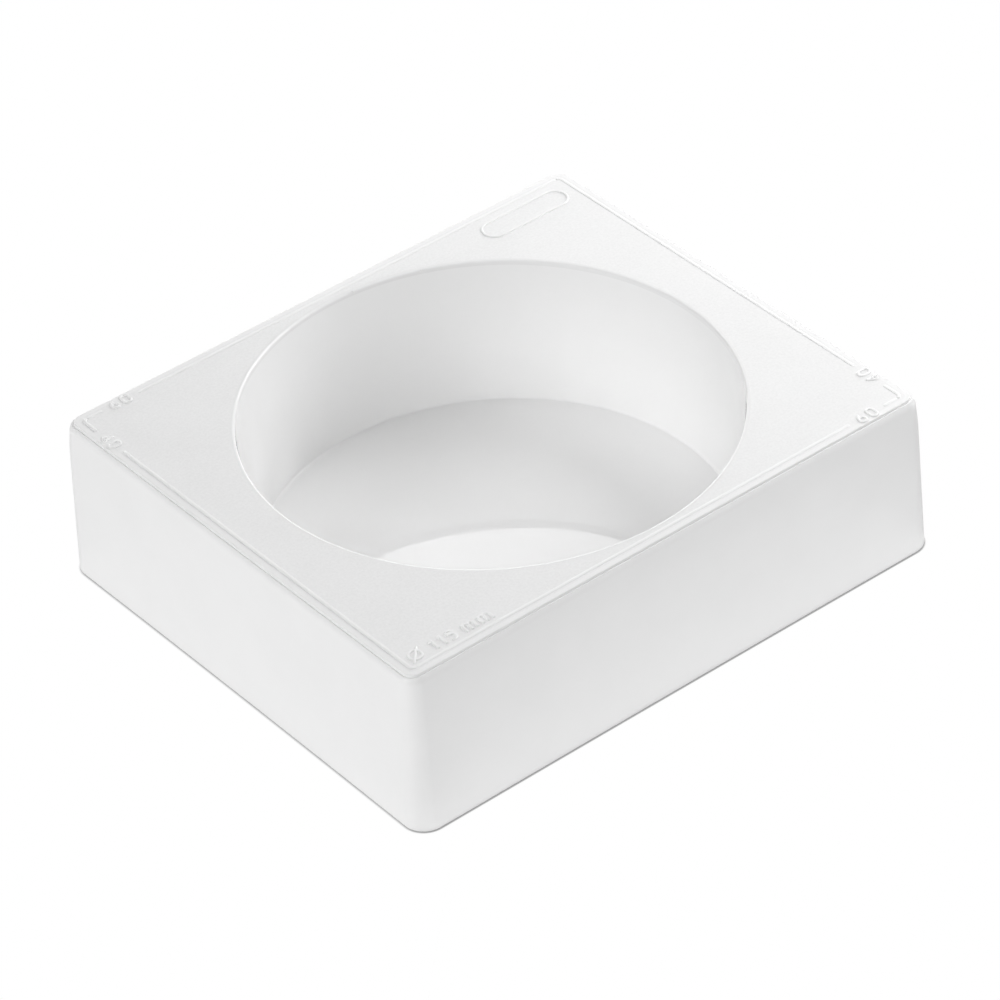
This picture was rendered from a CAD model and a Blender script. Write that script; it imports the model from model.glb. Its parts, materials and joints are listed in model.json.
"""Round casting mould: its finished surfaces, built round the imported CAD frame.

Everything is in metres in the frame's own axes: +X along the long side, the front is -Y,
and the mould stands on z = 0.
"""
import json
import math

import bmesh
import bpy
import numpy as np
from mathutils import Matrix, Vector, noise

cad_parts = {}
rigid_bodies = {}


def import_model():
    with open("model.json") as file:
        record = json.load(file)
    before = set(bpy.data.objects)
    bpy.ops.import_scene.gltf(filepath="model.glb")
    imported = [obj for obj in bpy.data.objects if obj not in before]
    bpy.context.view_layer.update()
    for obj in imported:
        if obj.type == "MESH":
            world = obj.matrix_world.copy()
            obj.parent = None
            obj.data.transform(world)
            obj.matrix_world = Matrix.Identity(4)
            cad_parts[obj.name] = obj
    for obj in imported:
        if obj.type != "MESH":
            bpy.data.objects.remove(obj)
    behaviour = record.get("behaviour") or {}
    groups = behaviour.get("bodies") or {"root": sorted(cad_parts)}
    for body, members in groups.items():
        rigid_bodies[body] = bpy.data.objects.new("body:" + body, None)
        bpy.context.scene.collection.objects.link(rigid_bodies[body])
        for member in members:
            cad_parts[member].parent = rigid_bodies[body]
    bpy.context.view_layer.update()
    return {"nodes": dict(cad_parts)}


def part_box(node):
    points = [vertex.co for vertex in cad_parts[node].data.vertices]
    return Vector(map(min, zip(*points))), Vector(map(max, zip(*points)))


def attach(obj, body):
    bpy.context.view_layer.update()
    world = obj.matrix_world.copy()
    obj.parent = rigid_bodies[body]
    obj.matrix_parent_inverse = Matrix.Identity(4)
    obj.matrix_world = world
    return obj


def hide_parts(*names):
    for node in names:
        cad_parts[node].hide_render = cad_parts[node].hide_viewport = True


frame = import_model()
MM = 0.001

# ---- Sizes read from the frame ----
deck_low, deck_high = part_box("top_deck")
wall_low, wall_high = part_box("cavity_wall")
base_low, base_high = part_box("cavity_floor")
TOP = deck_high.z
DECK_UNDER = deck_low.z
FOOT_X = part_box("skirt_right")[1].x
FOOT_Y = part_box("skirt_back")[1].y
CORNER_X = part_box("skirt_back")[1].x
CORNER_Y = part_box("skirt_right")[1].y
CORNER_R = FOOT_X - CORNER_X
CREASE_U = deck_high.x - FOOT_X
BASE_TOP = base_high.z
MARK_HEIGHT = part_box("diameter_mark")[1].z - TOP

# ---- Sizes of the moulding that a box doesn't give ----
SIDE_DRAFT = 1.5 * MM
SIDE_BOW = 0.25 * MM
SKIRT_WALL = 2.5 * MM
CUP_WALL = 2.5 * MM
INNER_ROUND = 1.5 * MM
HEM_ROUND = 0.5 * MM
# The top edge: a crisp ledge, a groove beside it, a rounded edge and a neck under that
LEDGE_ROUND = 0.18 * MM
GROOVE_WIDTH = 0.42 * MM
GROOVE_DEPTH = 0.65 * MM
GROOVE_ROUND = 0.06 * MM
GROOVE_SLOPE = 0.2 * GROOVE_WIDTH
BROW_ROUND = 0.1 * MM
EDGE_ROUND = 2.5 * MM
EDGE_DROP = 0.93 * EDGE_ROUND
NECK_IN = 0.35 * MM
NECK_REACH = 2.8 * MM
# The mouth and the cavity's floor
LIP_ROUND = 0.6 * MM
LIP_WIDTH = 0.9 * MM
LIP_DROP = 1.2 * MM
FLOOR_ROUND = 0.5 * MM
FLOOR_BLEND = 2 * MM
FLOOR_STRIP = 2.5 * MM
SAG = 0.012 * MM
SAG_PATCH = 26 * MM
SAG_SLICE = 0.31 * SAG_PATCH
SEAM_IN = 1.2 * MM

CAVITY_FLOOR_R = base_high.x - CUP_WALL
CAVITY_DECK_R = wall_high.x - CUP_WALL
TAPER = (CAVITY_DECK_R - CAVITY_FLOOR_R) / (DECK_UNDER - BASE_TOP)
MOUTH_R = CAVITY_FLOOR_R + TAPER * (TOP - BASE_TOP)
LIP_SEAM_R = MOUTH_R + LIP_WIDTH
LIP_LOW = TOP - LIP_DROP
BASE_R = CAVITY_FLOOR_R - FLOOR_STRIP
LEAN = SIDE_DRAFT / TOP
EDGE_LOW = TOP - EDGE_DROP
SEAM_U = CREASE_U - SEAM_IN

# Steps round a corner, along a side, round the cavity and over each rounded part of a section
CORNER_STEPS = 24
SIDE_STEPS = 28
TURN_STEPS = 256
EDGE_STEPS = 14
WALL_STEPS = 19
LIP_STEPS = 10
CUP_STEPS = 14
CROWN_STEPS = 12
DECK_RINGS = 10
FLOOR_RINGS = 40


def cavity_r(z):
    """Radius of the cavity at a height."""
    return CAVITY_FLOOR_R + TAPER * (z - BASE_TOP)


# ---- Outlines ----
QUARTER_TURN = math.pi / 2


def arc(centre, radius, start, end, steps):
    """Points along an arc, with its angles in radians."""
    angles = np.linspace(start, end, steps + 1)
    return [(centre[0] + radius * math.cos(a), centre[1] + radius * math.sin(a)) for a in angles]


def block_outline(u):
    """The block's rounded rectangle, moved outward by u, anticlockwise from the right side."""
    r = CORNER_R + u
    points = []
    for turn, (sx, sy) in enumerate([(1, 1), (-1, 1), (-1, -1), (1, -1)]):
        start = turn * QUARTER_TURN
        end = start + QUARTER_TURN
        points += arc((sx * CORNER_X, sy * CORNER_Y), r, start, end, CORNER_STEPS)
        half = CORNER_X if turn % 2 == 0 else CORNER_Y
        run = Vector((-math.sin(end), math.cos(end)))
        first = Vector(points[-1])
        points += [tuple(first + run * (2 * half * i / SIDE_STEPS)) for i in range(1, SIDE_STEPS)]
    return points


def circle(radius):
    """A full turn of points that doesn't repeat its first one."""
    return arc((0, 0), radius, 0, 2 * math.pi, TURN_STEPS)[:-1]


def rounded(corners, steps=6, straight=math.radians(89.5)):
    """A closed outline of corners (x, y, radius). One with no radius, or nearly straight, stays sharp."""
    outline = []
    for i, (x, y, r) in enumerate(corners):
        here = Vector((x, y))
        back = (Vector(corners[i - 1][:2]) - here).normalized()
        ahead = (Vector(corners[(i + 1) % len(corners)][:2]) - here).normalized()
        half = back.angle(ahead) / 2
        if r == 0 or half > straight:
            outline.append(tuple(here))
            continue
        centre = here + (back + ahead).normalized() * (r / math.sin(half))
        first = here + back * (r / math.tan(half)) - centre
        sweep = (math.pi - 2 * half) * (1 if back.cross(ahead) < 0 else -1)
        start = math.atan2(first.y, first.x)
        outline += arc(centre, r, start, start + sweep, steps)
    return outline


# ---- Geometry Nodes ----
class Tree:
    """A node tree with short ways to add a node and to join it up."""

    def __init__(self, name, kind, inputs, outputs):
        self.tree = bpy.data.node_groups.new(name, kind)
        self.ids = {}
        for label, socket, value in inputs:
            made = self.tree.interface.new_socket(label, in_out="INPUT", socket_type=socket)
            self.ids[label] = made.identifier
            if value is not None:
                made.default_value = value
        for label, socket in outputs:
            self.tree.interface.new_socket(label, in_out="OUTPUT", socket_type=socket)
        self.start = self.tree.nodes.new("NodeGroupInput").outputs
        self.end = self.tree.nodes.new("NodeGroupOutput").inputs

    def add(self, kind, settings=(), **sockets):
        """Adds a node. A socket is given by name, or by number as _0, and fed a link or a plain value."""
        node = self.tree.nodes.new(kind)
        for key, value in dict(settings).items():
            setattr(node, key, value)
        for key, value in sockets.items():
            socket = node.inputs[int(key[1:])] if key[0] == "_" else node.inputs[key.replace("_", " ")]
            self.feed(socket, value)
        return node.outputs

    def feed(self, socket, value):
        if isinstance(value, bpy.types.NodeSocket):
            self.tree.links.new(value, socket)
        else:
            socket.default_value = value

    def maths(self, operation, *values):
        node = self.tree.nodes.new("ShaderNodeMath")
        node.operation = operation
        for socket, value in zip(node.inputs, values):
            self.feed(socket, value)
        return node.outputs[0]

    def finish(self, geometry):
        """Ends a geometry tree: its instances are made real and take the tree's material."""
        whole = self.add("GeometryNodeRealizeInstances", Geometry=geometry)
        painted = self.add("GeometryNodeSetMaterial", Geometry=whole["Geometry"],
                           Material=self.start["Material"])
        self.feed(self.end["Geometry"], painted["Geometry"])


def swept_section_tree():
    """A closed cross-section carried round a path, and the long walls drawn in by a slight bow."""
    t = Tree(
        "swept_section", "GeometryNodeTree",
        [("Path", "NodeSocketGeometry", None), ("Section", "NodeSocketObject", None),
         ("Bow", "NodeSocketFloat", 0.0), ("Half Length", "NodeSocketFloat", 1.0),
         ("Half Width", "NodeSocketFloat", 1.0), ("Height", "NodeSocketFloat", 1.0),
         ("Material", "NodeSocketMaterial", None)],
        [("Geometry", "NodeSocketGeometry")])
    section = t.add("GeometryNodeObjectInfo", Object=t.start["Section"])
    swept = t.add("GeometryNodeCurveToMesh", Curve=t.start["Path"], Profile_Curve=section["Geometry"])
    place = t.add("ShaderNodeSeparateXYZ", Vector=t.add("GeometryNodeInputPosition")["Position"])
    across_x = t.maths("DIVIDE", place["X"], t.start["Half Length"])
    across_y = t.maths("DIVIDE", place["Y"], t.start["Half Width"])
    depth = t.maths("SUBTRACT", 1.0, t.maths("DIVIDE", place["Z"], t.start["Height"]))
    pull = t.maths("MULTIPLY", t.maths("MULTIPLY", t.start["Bow"], depth), -1.0)

    def bow(along, across):
        rise = t.maths("SUBTRACT", 1.0, t.maths("MULTIPLY", along, along))
        return t.maths("MULTIPLY", t.maths("MULTIPLY", rise, across), pull)

    shift = t.add("ShaderNodeCombineXYZ", X=bow(across_y, across_x), Y=bow(across_x, across_y))
    bowed = t.add("GeometryNodeSetPosition", Geometry=swept["Mesh"], Offset=shift["Vector"])
    t.finish(bowed["Geometry"])
    return t


def raised_line_tree():
    """A low, round-shouldered line along each path, thinned to a round end where the path isn't a loop."""
    t = Tree(
        "raised_line", "GeometryNodeTree",
        [("Path", "NodeSocketGeometry", None), ("Section", "NodeSocketObject", None),
         ("Width", "NodeSocketFloat", 1.0), ("Height", "NodeSocketFloat", 1.0),
         ("Point Spacing", "NodeSocketFloat", 1.0), ("Thinnest", "NodeSocketFloat", 0.05),
         ("Material", "NodeSocketMaterial", None)],
        [("Geometry", "NodeSocketGeometry")])
    fine = t.add("GeometryNodeResampleCurve", {"mode": "LENGTH"},
                 Curve=t.start["Path"], Length=t.start["Point Spacing"])
    along = t.add("GeometryNodeSplineParameter")["Length"]
    total = t.add("GeometryNodeSplineLength")["Length"]
    to_end = t.maths("MINIMUM", along, t.maths("SUBTRACT", total, along))
    share = t.maths("MINIMUM", 1.0, t.maths("DIVIDE", to_end, t.maths("DIVIDE", t.start["Width"], 2.0)))
    short = t.maths("SUBTRACT", 1.0, share)
    plump = t.maths("SQRT", t.maths("SUBTRACT", 1.0, t.maths("MULTIPLY", short, short)))
    loop = t.add("GeometryNodeInputSplineCyclic")["Cyclic"]
    radius = t.maths("MAXIMUM", t.maths("MAXIMUM", plump, t.start["Thinnest"]), loop)
    ends = t.add("GeometryNodeSetCurveRadius", Curve=fine["Curve"], Radius=radius)
    section = t.add("GeometryNodeObjectInfo", Object=t.start["Section"])
    size = t.add("ShaderNodeCombineXYZ", X=t.start["Width"], Y=t.start["Height"], Z=1.0)
    shaped = t.add("GeometryNodeTransform", Geometry=section["Geometry"], Scale=size["Vector"])
    swept = t.add("GeometryNodeCurveToMesh", Curve=ends["Curve"], Profile_Curve=shaped["Geometry"],
                  Scale=t.add("GeometryNodeInputRadius")["Radius"], Fill_Caps=True)
    t.finish(swept["Mesh"])
    return t


def flash_crumbs_tree():
    """Small uneven crumbs of cured flash, one on each point."""
    t = Tree(
        "flash_crumbs", "GeometryNodeTree",
        [("Points", "NodeSocketGeometry", None), ("Size", "NodeSocketFloat", 1.0),
         ("Smallest", "NodeSocketVector", (0.8, 0.8, 0.5)),
         ("Largest", "NodeSocketVector", (1.4, 1.0, 0.7)),
         ("Most Turn", "NodeSocketVector", (0, 0, 6.28)),
         ("Lumps per Size", "NodeSocketFloat", 1.2), ("Lumpiness", "NodeSocketFloat", 0.3),
         ("Seed", "NodeSocketInt", 0), ("Material", "NodeSocketMaterial", None)],
        [("Geometry", "NodeSocketGeometry")])
    ball = t.add("GeometryNodeMeshIcoSphere", Radius=t.start["Size"], Subdivisions=4)
    shape = t.add("FunctionNodeRandomValue", {"data_type": "FLOAT_VECTOR"},
                  _0=t.start["Smallest"], _1=t.start["Largest"], Seed=t.start["Seed"])
    turned_by = t.add("FunctionNodeRandomValue", {"data_type": "FLOAT_VECTOR"},
                      _0=(0, 0, 0), _1=t.start["Most Turn"], Seed=t.start["Seed"])
    many = t.add("GeometryNodeInstanceOnPoints", Points=t.start["Points"], Instance=ball["Mesh"],
                 Rotation=turned_by[0], Scale=shape[0])
    whole = t.add("GeometryNodeRealizeInstances", Geometry=many["Instances"])
    lumps = t.add("ShaderNodeTexNoise", Scale=t.maths("DIVIDE", t.start["Lumps per Size"], t.start["Size"]),
                  Detail=2.0)
    push = t.maths("MULTIPLY", t.maths("SUBTRACT", lumps[0], 0.5),
                   t.maths("MULTIPLY", t.start["Size"], t.start["Lumpiness"]))
    outward = t.add("ShaderNodeVectorMath", {"operation": "SCALE"},
                    Vector=t.add("GeometryNodeInputNormal")["Normal"], Scale=push)
    uneven = t.add("GeometryNodeSetPosition", Geometry=whole["Geometry"], Offset=outward["Vector"])
    t.finish(uneven["Geometry"])
    return t


def curve_object(name, loops, runs=(), z=0.0):
    """A curve of straight pieces at one height, closed through each loop and open through each run."""
    data = bpy.data.curves.new(name, "CURVE")
    data.dimensions = "3D"
    for points, closed in [(loop, True) for loop in loops] + [(run, False) for run in runs]:
        spline = data.splines.new("POLY")
        spline.points.add(len(points) - 1)
        for point, (x, y) in zip(spline.points, points):
            point.co = (x, y, z, 1)
        spline.use_cyclic_u = closed
    made = bpy.data.objects.new(name, data)
    bpy.context.scene.collection.objects.link(made)
    return made


def section_object(name, section):
    """A cross-section for Curve to Mesh, which lays a section's y downward."""
    return curve_object(name, [[(x, -y) for x, y in section]])


def grown(name, path, tree, **inputs):
    """Runs a Geometry Nodes tree on a path, and keeps its result as a plain mesh."""
    modifier = path.modifiers.new("grow", "NODES")
    modifier.node_group = tree.tree
    for label, value in inputs.items():
        modifier[tree.ids[label.replace("_", " ")]] = value
    path.update_tag()
    graph = bpy.context.evaluated_depsgraph_get()
    mesh = bpy.data.meshes.new_from_object(path.evaluated_get(graph), depsgraph=graph)
    path.modifiers.clear()
    bpy.data.objects.remove(path)
    mesh.name = name
    piece = bpy.data.objects.new(name, mesh)
    bpy.context.scene.collection.objects.link(piece)
    return piece


# ---- Cross-sections: x is outward, y is up ----
def side_u(z):
    """How far out the leaning side stands at a height, necked in a little under the rounded edge."""
    return -LEAN * z - NECK_IN * math.exp(-((EDGE_LOW - z) / NECK_REACH) ** 2)


def skirt_section():
    """The skirt: flat strip, crisp ledge, groove, rounded edge, leaning side, hem and inner side."""
    wall_angle = math.atan(LEAN)
    toward_wall = Vector((math.cos(wall_angle), math.sin(wall_angle)))
    edge = Vector((side_u(EDGE_LOW), EDGE_LOW)) - EDGE_ROUND * toward_wall
    start = math.acos((CREASE_U + GROOVE_WIDTH - edge.x) / EDGE_ROUND)
    rounded_edge = arc(edge, EDGE_ROUND, start, wall_angle, EDGE_STEPS)
    strip = rounded([
        (SEAM_U, TOP, 0), (SEAM_U + SEAM_IN / 2, TOP, 0), (CREASE_U, TOP, LEDGE_ROUND),
        (CREASE_U + GROOVE_SLOPE, TOP - GROOVE_DEPTH, GROOVE_ROUND), rounded_edge[0] + (BROW_ROUND,),
        rounded_edge[1] + (0,), (SEAM_U, DECK_UNDER, 0)])[:-2]
    inner = -SKIRT_WALL - LEAN * DECK_UNDER
    below = rounded([
        (0, 0, HEM_ROUND), (-SKIRT_WALL, 0, HEM_ROUND), (inner, DECK_UNDER, INNER_ROUND),
        (SEAM_U, DECK_UNDER, 0), (SEAM_U, TOP, 0), (side_u(EDGE_LOW), EDGE_LOW, 0)])
    side = [(side_u(z), z) for z in np.linspace(EDGE_LOW, below[0][1], WALL_STEPS + 1)[1:-1]]
    return strip + rounded_edge[1:] + side + below[:-2]


def lip_section():
    """The mouth's lip: a narrow flat strip, the round lip and the first of the taper."""
    slope = math.atan(TAPER)
    lip = Vector((cavity_r(TOP - LIP_ROUND) + LIP_ROUND / math.cos(slope), TOP - LIP_ROUND))
    round_lip = arc(lip, LIP_ROUND, math.pi / 2, math.pi - slope, LIP_STEPS)
    return [(LIP_SEAM_R, TOP)] + round_lip + [(cavity_r(LIP_LOW), LIP_LOW), (LIP_SEAM_R, LIP_LOW)]


def cup_section():
    """The cavity's wall from under the lip to a strip of the floor, and its outer side below the deck."""
    inside = [(cavity_r(z), z) for z in np.linspace(LIP_LOW, BASE_TOP + FLOOR_BLEND, CUP_STEPS + 1)]
    outer_top = cavity_r(DECK_UNDER) + CUP_WALL
    outer_end = cavity_r(BASE_TOP) + CUP_WALL
    rest = rounded([
        (CAVITY_FLOOR_R, BASE_TOP, FLOOR_ROUND), (BASE_R, BASE_TOP, 0), (BASE_R, 0, 0),
        (outer_end, 0, HEM_ROUND), (outer_top, DECK_UNDER, INNER_ROUND),
        (outer_top + INNER_ROUND, DECK_UNDER, 0), (LIP_SEAM_R, DECK_UNDER, 0),
        (LIP_SEAM_R, LIP_LOW, 0), inside[0] + (0,)])
    return inside + rest[:-1]


def stroke_section():
    """A raised line's section, one wide and one high: fully rounded, with a foot sunk in the deck."""
    foot = -0.2
    crown = [(math.cos(a) / 2, math.sin(a)) for a in np.linspace(0, math.pi, CROWN_STEPS + 1)]
    return [(-0.5, foot), (0.5, foot)] + crown


# ---- Meshes ----
def mesh_object(name, points, faces):
    mesh = bpy.data.meshes.new(name)
    mesh.from_pydata([tuple(p) for p in points], [], faces)
    mesh.validate()
    piece = bpy.data.objects.new(name, mesh)
    bpy.context.scene.collection.objects.link(piece)
    return piece


def loft(name, rings):
    """Faces between one closed ring of points and the next, and between the last and the first."""
    n = len(rings[0])
    faces = []
    for i in range(len(rings)):
        a = i * n
        b = (i + 1) % len(rings) * n
        faces += [(a + j, a + (j + 1) % n, b + (j + 1) % n, b + j) for j in range(n)]
    return mesh_object(name, [p for ring in rings for p in ring], faces)


def finish_piece(piece, material, nodes=(), sharp=40):
    """Shades a piece smooth but for edges sharper than so many degrees, and ties it to the frame."""
    mesh = piece.data
    work = bmesh.new()
    work.from_mesh(mesh)
    bmesh.ops.recalc_face_normals(work, faces=work.faces)
    work.to_mesh(mesh)
    work.free()
    mesh.polygons.foreach_set("use_smooth", [True] * len(mesh.polygons))
    mesh.set_sharp_from_angle(angle=math.radians(sharp))
    mesh.materials.clear()
    mesh.materials.append(material)
    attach(piece, "root")
    if nodes:
        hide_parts(*nodes)
    return piece


# ---- Silicone finishes ----
def cloud_group():
    """Soft patches: a value that drifts between Low and High over distances of about Patch."""
    t = Tree("soft_patches", "ShaderNodeTree",
             [("Vector", "NodeSocketVector", None), ("Patch", "NodeSocketFloat", 0.01),
              ("Low", "NodeSocketFloat", 0.0), ("High", "NodeSocketFloat", 1.0)],
             [("Value", "NodeSocketFloat")])
    cloud = t.add("ShaderNodeTexNoise", Vector=t.start["Vector"],
                  Scale=t.maths("DIVIDE", 1.0, t.start["Patch"]), Detail=3.0, Roughness=0.55)
    t.feed(t.end["Value"], t.add("ShaderNodeMapRange", Value=cloud[0], From_Min=0.3, From_Max=0.7,
                                 To_Min=t.start["Low"], To_Max=t.start["High"])["Result"])
    return t.tree


def grain_group():
    """The fine blasted grain that the mould's own tool leaves, as a height."""
    t = Tree("fine_grain", "ShaderNodeTree",
             [("Vector", "NodeSocketVector", None), ("Grain", "NodeSocketFloat", 0.0005)],
             [("Height", "NodeSocketFloat")])
    scale = t.maths("DIVIDE", 1.0, t.start["Grain"])
    coarse = t.add("ShaderNodeTexNoise", Vector=t.start["Vector"], Scale=scale, Detail=2.0)
    pits = t.add("ShaderNodeTexVoronoi", Vector=t.start["Vector"], Scale=t.maths("MULTIPLY", scale, 0.8))
    t.feed(t.end["Height"], t.maths("ADD", coarse[0], t.maths("MULTIPLY", pits["Distance"], 0.5)))
    return t.tree


SOFT_PATCHES = cloud_group()
FINE_GRAIN = grain_group()
SILICONE_IOR = 1.41
TONE_PATCH = 14 * MM
GLOSS_PATCH = 6 * MM
MOTTLE_PATCH = 0.6 * MM


def silicone(name, light, dark, rough, grain=1.5 * MM, relief=0.0, mottle=0.0):
    """White silicone: drifting tone and gloss, and blasted grain. rough is (lowest, highest)."""
    material = bpy.data.materials.new(name)
    material.use_nodes = True
    nodes = material.node_tree.nodes
    links = material.node_tree.links
    shader = nodes["Principled BSDF"]
    place = nodes.new("ShaderNodeTexCoord").outputs["Object"]

    def group(tree, **values):
        node = nodes.new("ShaderNodeGroup")
        node.node_tree = tree
        links.new(place, node.inputs["Vector"])
        for label, value in values.items():
            node.inputs[label].default_value = value
        return node.outputs[0]

    def mix(factor, a, b, blend="MIX"):
        node = nodes.new("ShaderNodeMix")
        node.data_type = "RGBA"
        node.blend_type = blend
        for socket, value in ((node.inputs[0], factor), (node.inputs[6], a), (node.inputs[7], b)):
            if isinstance(value, bpy.types.NodeSocket):
                links.new(value, socket)
            else:
                socket.default_value = value
        return node.outputs[2]

    def grey(value):
        return (value, value, value, 1)

    tone = mix(group(SOFT_PATCHES, Patch=TONE_PATCH, Low=0.0, High=1.0), grey(dark), grey(light))
    cloudy = mix(group(SOFT_PATCHES, Patch=MOTTLE_PATCH, Low=0.0, High=1.0), grey(1 - mottle), grey(1.0))
    links.new(mix(1.0, tone, cloudy, "MULTIPLY"), shader.inputs["Base Color"])
    gloss = group(SOFT_PATCHES, Patch=GLOSS_PATCH, Low=rough[0], High=rough[1])
    links.new(gloss, shader.inputs["Roughness"])
    bump = nodes.new("ShaderNodeBump")
    bump.inputs["Strength"].default_value = 1.0
    bump.inputs["Distance"].default_value = relief
    links.new(group(FINE_GRAIN, Grain=grain), bump.inputs["Height"])
    links.new(bump.outputs["Normal"], shader.inputs["Normal"])
    shader.inputs["IOR"].default_value = SILICONE_IOR
    return material


# Only the flat top has a grain that shows. The cavity was cast against a polished core
deck_finish = silicone("satin_deck_silicone", light=0.83, dark=0.815, rough=(0.29, 0.35),
                       grain=0.9 * MM, relief=0.006 * MM, mottle=0.06)
satin = silicone("satin_silicone", light=0.83, dark=0.815, rough=(0.30, 0.36), relief=0.002 * MM)
lip_finish = silicone("lip_silicone", light=0.83, dark=0.815, rough=(0.18, 0.25))
polished = silicone("polished_silicone", light=0.88, dark=0.87, rough=(0.008, 0.012))


# ---- The block ----
sweep = swept_section_tree()


def swept(name, outline, section, material, bow=0.0):
    """A closed section carried round an outline. The section's x is outward and its y is up."""
    section_curve = section_object(name + "_section", section)
    piece = grown(
        name, curve_object(name + "_path", [outline]), sweep, Section=section_curve, Bow=bow,
        Half_Length=FOOT_X, Half_Width=FOOT_Y, Height=TOP, Material=material)
    bpy.data.objects.remove(section_curve)
    return piece


def turned(name, section, material):
    """A closed section turned about the cavity's axis."""
    middle = CAVITY_FLOOR_R
    return swept(name, circle(middle), [(x - middle, y) for x, y in section], material)


def deck_plate():
    """The flat top: a plate that passes from the block's rounded rectangle to the mouth's circle."""
    outer = [Vector(p) for p in block_outline(SEAM_U)]
    level = []
    for i in range(DECK_RINGS + 1):
        level.append([p.lerp(p.normalized() * LIP_SEAM_R, i / DECK_RINGS) for p in outer])
    top = [[(p.x, p.y, TOP) for p in ring] for ring in level]
    under = [[(p.x, p.y, DECK_UNDER) for p in ring] for ring in reversed(level)]
    return loft("deck_plate", top + under)


def floor_sag(x, y):
    """The slight waviness of the cavity's floor, fading out towards its rim."""
    fade = max(0.0, 1 - (math.hypot(x, y) / BASE_R) ** 4)
    return SAG * fade * noise.noise(Vector((x, y, SAG_SLICE)) / SAG_PATCH)


def cavity_base():
    """The disc under the cavity, wavy on top and flat below, each closed at the middle by a fan."""
    n = TURN_STEPS
    radii = [BASE_R * i / FLOOR_RINGS for i in range(FLOOR_RINGS, 0, -1)]
    top = [[(x, y, BASE_TOP + floor_sag(x, y)) for x, y in circle(r)] for r in radii]
    under = [[(x, y, 0) for x, y in circle(r)] for r in (BASE_R / 2, BASE_R)]
    rings = under + top
    points = [p for ring in rings for p in ring] + [(0, 0, 0), (0, 0, BASE_TOP + floor_sag(0, 0))]
    faces = []
    for i in range(len(rings) - 1):
        a = i * n
        b = a + n
        faces += [(a + j, a + (j + 1) % n, b + (j + 1) % n, b + j) for j in range(n)]
    for first, centre in ((0, len(points) - 2), (len(points) - 2 - n, len(points) - 1)):
        faces += [(first + j, first + (j + 1) % n, centre) for j in range(n)]
    return mesh_object("cavity_base", points, faces)


SKIRT_NODES = [n for n in frame["nodes"] if n.startswith(("skirt_", "corner_"))]
finish_piece(swept("skirt_band", block_outline(0), skirt_section(), satin, SIDE_BOW),
             satin, SKIRT_NODES)
finish_piece(deck_plate(), deck_finish, ["top_deck"])
finish_piece(turned("mouth_lip", lip_section(), lip_finish), lip_finish, ["top_deck"])
finish_piece(turned("cavity_side", cup_section(), polished), polished, ["cavity_wall"])
finish_piece(cavity_base(), polished, ["cavity_floor"])


# ---- Raised marks ----
STROKE = 0.6 * MM
MARK_WIDTH = 0.72 * MM
RIDGE_WIDTH = 0.9 * MM
DIGIT_H = 3.6 * MM
DIGIT_W = 2.4 * MM
DIGIT_GAP = 0.8 * MM
BOWL_R = (DIGIT_W - STROKE) / 2
BOWL_X = DIGIT_W / 2
BOWL_Y = STROKE / 2 + BOWL_R
SMALL_M_H = 2.9 * MM
SMALL_M_PITCH = 1.42 * MM

# How high each kind of mark stands, all within the frame's own height for a mark
FULL_HEIGHT = MARK_HEIGHT * 0.96
LEFT_HEIGHT = MARK_HEIGHT * 0.9
RIGHT_HEIGHT = MARK_HEIGHT * 0.5
FAINT_HEIGHT = MARK_HEIGHT * 0.35
MARK_SPACING = 0.12 * MM
PANEL_SPACING = 0.15 * MM
RIDGE_SPACING = 0.25 * MM
RAISED_SHARP = 50

line_tree = raised_line_tree()
line_section = section_object("line_section", stroke_section())


def raised(name, paths, width, spacing, nodes, height=FULL_HEIGHT):
    """Raised lines on the deck along paths of points. A path with None at its end is a loop."""
    loops = [p[:-1] for p in paths if p[-1] is None]
    runs = [p for p in paths if p[-1] is not None]
    piece = grown(
        name, curve_object(name + "_path", loops, runs, TOP), line_tree, Section=line_section,
        Width=width, Height=height, Point_Spacing=spacing, Material=satin)
    return finish_piece(piece, satin, nodes, RAISED_SHARP)


def glyph_arc(cx, cy, r, start, end, steps=16):
    """An arc of a glyph, with its angles in degrees. A loop's last point stops short of its first."""
    return arc((cx, cy), r, math.radians(start), math.radians(end), steps)


def zero():
    upper = glyph_arc(BOWL_X, DIGIT_H - BOWL_Y, BOWL_R, 0, 180)
    return [upper + glyph_arc(BOWL_X, BOWL_Y, BOWL_R, 180, 360) + [None]]


def six():
    sweep_r = DIGIT_H - STROKE - BOWL_R
    return [glyph_arc(BOWL_X, BOWL_Y, BOWL_R, 0, 345) + [None],
            glyph_arc(STROKE / 2 + sweep_r, BOWL_Y, sweep_r, 180, 115)]


def four():
    stem = 0.72 * DIGIT_W
    bar = 0.3 * DIGIT_H
    return [[(stem, STROKE * 0.1), (stem, DIGIT_H - STROKE * 0.1)],
            [(stem, DIGIT_H - STROKE / 2), (STROKE / 2, bar)],
            [(STROKE / 2, bar), (DIGIT_W, bar)]]


def one():
    stem = DIGIT_W - STROKE / 2 - 0.5 * MM
    flag = (stem - 0.9 * MM, DIGIT_H - 1.1 * MM)
    return [[(stem, 0), (stem, DIGIT_H)], [(stem, DIGIT_H - STROKE / 2), flag]]


def five():
    bar = DIGIT_H - STROKE / 2
    neck = (STROKE * 0.8, DIGIT_H * 0.52)
    return [[(DIGIT_W - STROKE * 0.2, bar), (STROKE, bar)],
            [(STROKE, bar), neck],
            glyph_arc(BOWL_X, BOWL_Y, BOWL_R, 132, -145)]


def crossed_ring():
    middle = DIGIT_H / 2
    reach = Vector((0.56, 0.61)) * DIGIT_H
    centre = Vector((middle, middle))
    return [glyph_arc(middle, middle, (DIGIT_H - STROKE) / 2, 0, 350, 28) + [None],
            [tuple(centre - reach), tuple(centre + reach)]]


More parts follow.
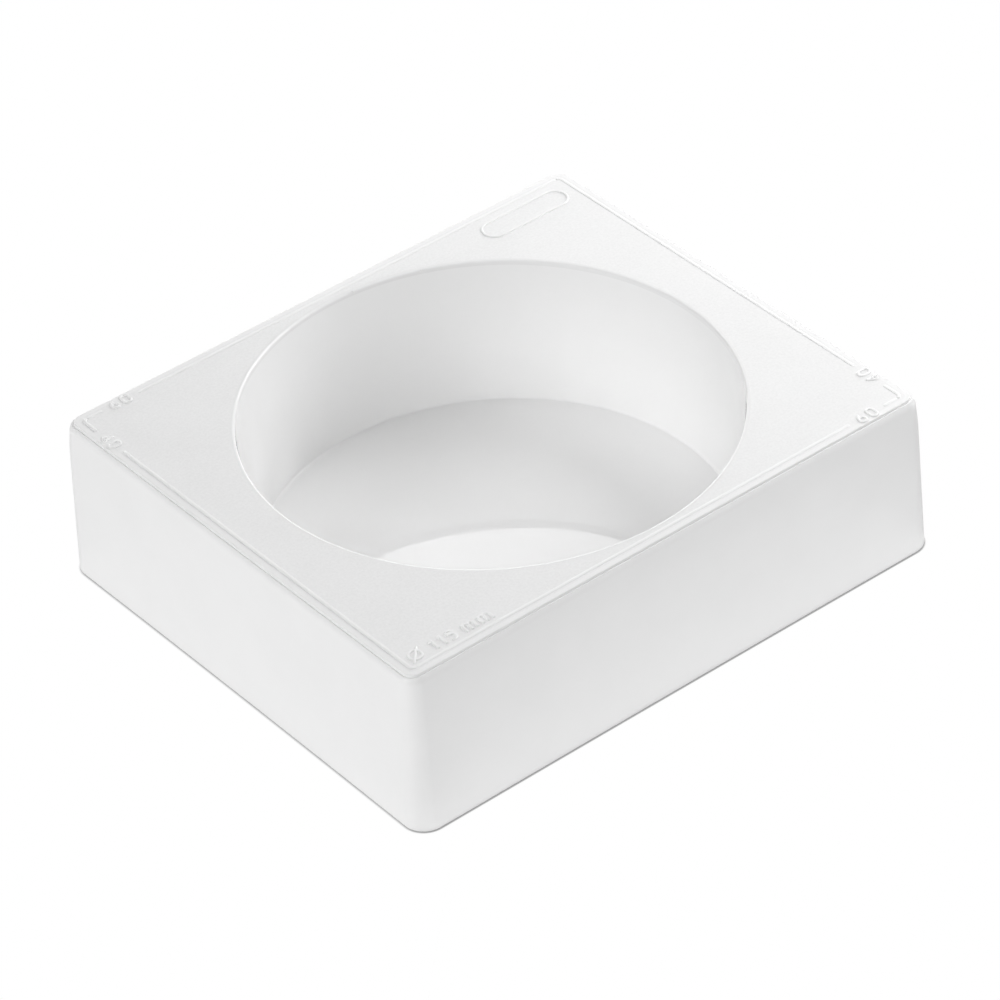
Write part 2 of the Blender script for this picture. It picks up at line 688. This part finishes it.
def small_m():
    foot = STROKE / 2
    arch_r = SMALL_M_PITCH / 2
    lines = [[(foot, 0), (foot, SMALL_M_H)]]
    for left in (foot, foot + SMALL_M_PITCH):
        arch = glyph_arc(left + arch_r, SMALL_M_H - foot - arch_r, arch_r, 180, 0, 10)
        lines.append(arch + [(left + SMALL_M_PITCH, 0)])
    return lines


def placed(lines, x, y, angle=0.0):
    """Moves a glyph's lines to a point of the deck, turned by an angle in degrees."""
    c = math.cos(math.radians(angle))
    s = math.sin(math.radians(angle))
    return [[p and (x + p[0] * c - p[1] * s, y + p[0] * s + p[1] * c) for p in line] for line in lines]


def number(name, node, first, second, angle):
    """Two numerals centred on the place of a CAD number."""
    low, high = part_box(node)
    step = DIGIT_W + DIGIT_GAP
    lines = first + placed(second, step, 0)
    centred = placed(lines, -DIGIT_W - DIGIT_GAP / 2, -DIGIT_H / 2)
    middle = (low + high) / 2
    raised(name, placed(centred, middle.x, middle.y, angle), MARK_WIDTH, MARK_SPACING, [node])


number("raised_60_front", "number_front", six(), zero(), 0)
number("raised_60_back", "number_back", six(), zero(), 0)
number("raised_40_left", "number_left", four(), zero(), -90)
number("raised_40_right", "number_right", four(), zero(), 90)

# The size mark: each glyph and how far it stands from the mark's left end
LAST_M_AT = 18.95 * MM
SIZE_MARK = [(crossed_ring(), 0), (one(), 5.4 * MM), (one(), 7.7 * MM), (five(), 10.3 * MM),
             (small_m(), 14.6 * MM), (small_m(), LAST_M_AT)]
mark = [line for glyph, at in SIZE_MARK for line in placed(glyph, at, 0)]
mark_low, mark_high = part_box("diameter_mark")
MARK_LEFT = mark_high.x - LAST_M_AT - STROKE - 2 * SMALL_M_PITCH
MARK_FOOT = (mark_low.y + mark_high.y - DIGIT_H) / 2
raised("raised_size_mark", placed(mark, MARK_LEFT, MARK_FOOT), MARK_WIDTH, MARK_SPACING, ["diameter_mark"])

panel_low, panel_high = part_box("blank_name_panel")
panel_mid = (panel_low + panel_high) / 2
panel_r = (panel_high.y - panel_low.y - STROKE) / 2
panel_half = (panel_high.x - panel_low.x - STROKE) / 2 - panel_r
right_end = glyph_arc(panel_half, 0, panel_r, -90, 90, 24)
left_end = glyph_arc(-panel_half, 0, panel_r, 90, 270, 24)
panel = right_end + left_end + [None]
raised("empty_panel_outline", placed([panel], panel_mid.x, panel_mid.y), MARK_WIDTH, PANEL_SPACING,
       ["blank_name_panel"])

# Each guide ridge is open round the number that stands in its line. The side ones turn the corners
RIDGE_GAP = 5 * MM
RIDGE_CORNER = 1.1 * MM
RIDGE_X = (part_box("guide_ridge_right")[0].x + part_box("guide_ridge_right")[1].x) / 2
RIDGE_Y = (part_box("guide_ridge_back")[0].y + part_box("guide_ridge_back")[1].y) / 2


def ridge_corner(sx, sy):
    """The ridge's rounded corner, from the side ridge towards the front or back one."""
    turn = arc((RIDGE_X - RIDGE_CORNER, RIDGE_Y - RIDGE_CORNER), RIDGE_CORNER, 0, QUARTER_TURN, 8)
    return [(sx * x, sy * y) for x, y in turn]


def guide_line(side, runs, height):
    raised("guide_line_" + side, runs, RIDGE_WIDTH, RIDGE_SPACING, ["guide_ridge_" + side], height)


for side, sign in (("front", -1), ("back", 1)):
    n_low, n_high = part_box("number_" + side)
    gap_x = (n_low.x + n_high.x) / 2
    end = RIDGE_X - RIDGE_CORNER
    y = sign * RIDGE_Y
    left_run = [(-end, y), (gap_x - RIDGE_GAP, y)]
    right_run = [(gap_x + RIDGE_GAP, y), (end, y)]
    guide_line(side, [left_run, right_run], FAINT_HEIGHT)
for side, sign, height in (("left", -1, LEFT_HEIGHT), ("right", 1, RIGHT_HEIGHT)):
    n_low, n_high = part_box("number_" + side)
    gap_y = (n_low.y + n_high.y) / 2
    x = sign * RIDGE_X
    front = ridge_corner(sign, -1)[::-1]
    back = ridge_corner(sign, 1)
    guide_line(side, [front + [(x, gap_y - RIDGE_GAP)], [(x, gap_y + RIDGE_GAP)] + back], height)
bpy.data.objects.remove(line_section)


# ---- Crumbs of flash left on the lip, at their angles round the mouth ----
CRUMB_ANGLES = (67.1, 84.6)
CRUMB_SIZE = 0.3 * MM
CRUMB_Z = TOP - 0.05 * MM
crumb_points = [(MOUTH_R * math.cos(math.radians(a)), MOUTH_R * math.sin(math.radians(a)), CRUMB_Z)
                for a in CRUMB_ANGLES]
crumbs = grown("flash_crumbs", mesh_object("crumb_points", crumb_points, []), flash_crumbs_tree(),
               Size=CRUMB_SIZE, Lumpiness=0.9, Seed=3, Material=lip_finish)
finish_piece(crumbs, lip_finish)


# ---- Studio ----
def choose_for_camera(tree, others, camera_rays, output):
    """Shows one shader to the camera and another to every other ray."""
    rays = tree.nodes.new("ShaderNodeLightPath")
    choose = tree.nodes.new("ShaderNodeMixShader")
    tree.links.new(rays.outputs["Is Camera Ray"], choose.inputs[0])
    tree.links.new(others, choose.inputs[1])
    tree.links.new(camera_rays, choose.inputs[2])
    tree.links.new(choose.outputs[0], output.inputs["Surface"])


FLOOR_HALF = 4.0
FLOOR_GREY = 0.25
FLOOR_ROUGH = 0.9
# Glow of the backlit floor on the mould
FLOOR_GLOW = 0.62
# The shade where the two touch: its depth, how far it reaches, which way it leans and where it is deepest
CONTACT_SHADE = 0.3
CONTACT_REACH = 0.55 * MM
CONTACT_LEAN = (0.15, 0.6, 0.78)
CONTACT_DEEPEST = 0.3
CONTACT_SAMPLES = 8


def studio_floor():
    """White paper: plain white with a thin contact shade to the camera, glowing grey to every other ray."""
    corners = [(x * FLOOR_HALF, y * FLOOR_HALF, 0) for x, y in ((-1, -1), (1, -1), (1, 1), (-1, 1))]
    floor = mesh_object("studio_floor", corners, [(0, 1, 2, 3)])
    material = bpy.data.materials.new("white_paper")
    material.use_nodes = True
    nodes = material.node_tree.nodes
    links = material.node_tree.links
    paper = nodes["Principled BSDF"]
    paper.inputs["Base Color"].default_value = (FLOOR_GREY, FLOOR_GREY, FLOOR_GREY, 1)
    paper.inputs["Roughness"].default_value = FLOOR_ROUGH
    paper.inputs["Specular IOR Level"].default_value = 0.0
    paper.inputs["Emission Color"].default_value = (1, 1, 1, 1)
    paper.inputs["Emission Strength"].default_value = FLOOR_GLOW
    contact = nodes.new("ShaderNodeAmbientOcclusion")
    contact.samples = CONTACT_SAMPLES
    contact.inputs["Distance"].default_value = CONTACT_REACH
    lean = nodes.new("ShaderNodeCombineXYZ")
    for socket, value in zip(lean.inputs, CONTACT_LEAN):
        socket.default_value = value
    links.new(lean.outputs["Vector"], contact.inputs["Normal"])
    bright = nodes.new("ShaderNodeMapRange")
    bright.inputs["From Min"].default_value = CONTACT_DEEPEST
    bright.inputs["To Min"].default_value = CONTACT_SHADE
    links.new(contact.outputs["AO"], bright.inputs["Value"])
    white = nodes.new("ShaderNodeEmission")
    links.new(bright.outputs["Result"], white.inputs["Strength"])
    choose_for_camera(material.node_tree, paper.outputs[0], white.outputs[0], nodes["Material Output"])
    floor.data.materials.append(material)


AIM = Vector((0, 0, TOP * 0.6))
CARD_Z = 0.2 * MM


def area_light(name, shape, width, height, power):
    data = bpy.data.lights.new(name, "AREA")
    data.shape = shape
    data.size = width
    data.size_y = height
    data.energy = power
    lamp = bpy.data.objects.new(name, data)
    lamp.visible_camera = False
    bpy.context.scene.collection.objects.link(lamp)
    return lamp


def soft_box(name, azimuth, elevation, distance, width, height, power, shape="RECTANGLE"):
    """A soft light that faces the mould. Azimuth 0 is the front and 90 the right."""
    a = math.radians(azimuth)
    e = math.radians(elevation)
    toward = Vector((math.sin(a) * math.cos(e), -math.cos(a) * math.cos(e), math.sin(e)))
    lamp = area_light(name, shape, width, height, power)
    lamp.location = AIM + toward * distance
    lamp.rotation_euler = toward.to_track_quat("Z", "Y").to_euler()


def floor_card(name, x, y, width, depth, power):
    """A glowing card that lies on the floor and lights the foot of the mould."""
    card = area_light(name, "RECTANGLE", width, depth, power)
    card.location = (x, y, CARD_Z)
    card.rotation_euler = (math.pi, 0, 0)


def grey_film(name, low, high, half, passes):
    """A grey film from one (x, z) to another, out of sight, that tames the lights on the side behind it."""
    corners = [(low[0], -half, low[1]), (low[0], half, low[1]),
               (high[0], half, high[1]), (high[0], -half, high[1])]
    film = mesh_object(name, corners, [(0, 1, 2, 3)])
    material = bpy.data.materials.new("grey_film")
    material.use_nodes = True
    nodes = material.node_tree.nodes
    clear = nodes.new("ShaderNodeBsdfTransparent")
    clear.inputs["Color"].default_value = (passes, passes, passes, 1)
    material.node_tree.links.new(clear.outputs[0], nodes["Material Output"].inputs["Surface"])
    film.data.materials.append(material)
    film.visible_camera = False


# Each soft box: azimuth and elevation in degrees, distance, width and height in metres, power in watts
SOFT_BOXES = {
    "backdrop": (143, 12, 1.2, 1.6, 0.5, 7.4),
    "near_right": (90, 40, 0.42, 0.25, 0.20, 0.89),
    "low_right": (90, 25, 0.75, 0.40, 0.25, 1.78),
    "back_left": (225, 42, 0.8, 0.50, 0.35, 1.27),
    "front_left": (315, 42, 0.8, 0.50, 0.35, 1.54),
    "low_front_right": (45, 12, 0.7, 0.45, 0.22, 0.64),
    "far_low_front_left": (315, 25, 1.8, 0.9, 0.6, 0.77),
    "far_left": (270, 25, 1.8, 0.9, 0.6, 7.24),
    "far_left_high": (293, 35, 1.8, 1.1, 0.8, 4.57),
    "far_front": (0, 42, 1.8, 1.1, 0.8, 1.11),
}
# Each card: its middle, width, depth and power
FLOOR_CARDS = {
    "card_left": (-0.1005, 0, 0.05, 0.13, 0.003),
    "card_front": (0, -0.0905, 0.15, 0.05, 0.010),
}
FILM_LOW = (FOOT_X + 1 * MM, 1 * MM)
FILM_HIGH = (FOOT_X - 0.4 * MM, TOP - 0.4 * MM)
FILM_PASSES = 0.64
WORLD_FILL = 0.05

studio_floor()
grey_film("right_film", FILM_LOW, FILM_HIGH, FOOT_Y, FILM_PASSES)
# The small one is mirrored in the polished floor of the cavity
soft_box("mirrored_glow", 143.3, 38.9, 1.0, 0.16, 0.07, 0.086, "ELLIPSE")
for name, values in SOFT_BOXES.items():
    soft_box(name, *values)
for name, values in FLOOR_CARDS.items():
    floor_card(name, *values)

world = bpy.data.worlds.new("studio")
bpy.context.scene.world = world
world.use_nodes = True
fill = world.node_tree.nodes["Background"]
fill.inputs["Color"].default_value = (1, 1, 1, 1)
fill.inputs["Strength"].default_value = WORLD_FILL
seen = world.node_tree.nodes.new("ShaderNodeBackground")
seen.inputs["Color"].default_value = (1, 1, 1, 1)
seen.inputs["Strength"].default_value = 1.0
choose_for_camera(world.node_tree, fill.outputs[0], seen.outputs[0], world.node_tree.nodes["World Output"])

# ---- Camera: the angle, the roll and the offset of the middle of the flat top from the axis ----
VIEW_AZIMUTH = math.radians(-36.743)
VIEW_ELEVATION = math.radians(37.725)
VIEW_ROLL = math.radians(-4.016)
VIEW_DISTANCE = 1166.3 * MM
VIEW_OFFSET = Vector((2.21, -20.52)) * MM
LENS = 187.2
SENSOR = 36

back = Vector((math.sin(VIEW_AZIMUTH) * math.cos(VIEW_ELEVATION),
               -math.cos(VIEW_AZIMUTH) * math.cos(VIEW_ELEVATION), math.sin(VIEW_ELEVATION)))
level_right = (-back).cross(Vector((0, 0, 1))).normalized()
level_up = level_right.cross(-back)
right = level_right * math.cos(VIEW_ROLL) + level_up * math.sin(VIEW_ROLL)
up = level_up * math.cos(VIEW_ROLL) - level_right * math.sin(VIEW_ROLL)
camera_data = bpy.data.cameras.new("camera")
camera_data.lens = LENS
camera_data.sensor_width = SENSOR
camera = bpy.data.objects.new("camera", camera_data)
turn = Matrix((right, up, back)).transposed().to_4x4()
stand = Vector((0, 0, TOP)) + back * VIEW_DISTANCE + right * VIEW_OFFSET.x + up * VIEW_OFFSET.y
camera.matrix_world = Matrix.Translation(stand) @ turn
bpy.context.scene.collection.objects.link(camera)
bpy.context.scene.camera = camera
bpy.context.scene.view_settings.view_transform = "Standard"
